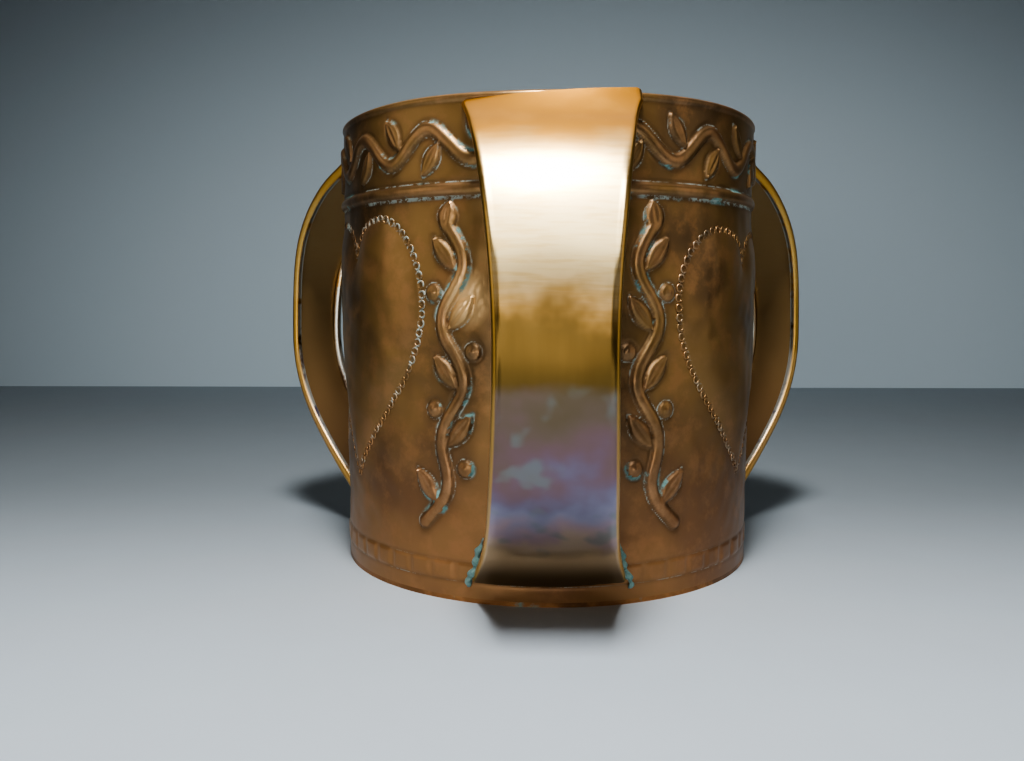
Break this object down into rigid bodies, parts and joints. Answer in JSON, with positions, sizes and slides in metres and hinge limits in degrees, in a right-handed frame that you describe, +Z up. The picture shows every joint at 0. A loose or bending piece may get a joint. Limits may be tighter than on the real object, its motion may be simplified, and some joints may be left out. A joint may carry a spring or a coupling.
{
  "type": "three-handled mug",
  "caption": "Straight-sided copper mug with broad strap handles set evenly round it, a raised rib under the frieze, a rolled rim and a flat base.",
  "frame": {"origin": "centre of the base disc's underside, where it rests", "axes": "+Z up along the mug's axis; -Y through the middle of the front handle; +X to the right seen from the front"},
  "size_m": [0.1822, 0.1598, 0.129],
  "materials": {
    "wall_copper": "patinated copper, embossed, glossy olive-brown with bright ridges",
    "handle_copper": "polished golden copper with heat tints",
    "base_copper": "dull patinated copper, scuffed where it rests",
    "wire_copper": "drawn copper",
    "spelter": "brazed seam, filed flush",
    "solder": "soft solder with verdigris at its edges"
  },
  "bodies": {
    "root": {"body_wall": "wall_copper", "body_seam": "spelter", "rim_wire": "wire_copper", "base_disc": "base_copper", "base_solder": "solder", "handle_front": "handle_copper", "handle_right": "handle_copper", "handle_left": "handle_copper", "front_edge_wire_left": "wire_copper", "front_edge_wire_right": "wire_copper", "right_edge_wire_left": "wire_copper", "right_edge_wire_right": "wire_copper", "left_edge_wire_left": "wire_copper", "left_edge_wire_right": "wire_copper", "front_rim_solder": "solder", "right_rim_solder": "solder", "left_rim_solder": "solder", "front_foot_solder": "solder", "right_foot_solder": "solder", "left_foot_solder": "solder"}
  },
  "joints": []
}
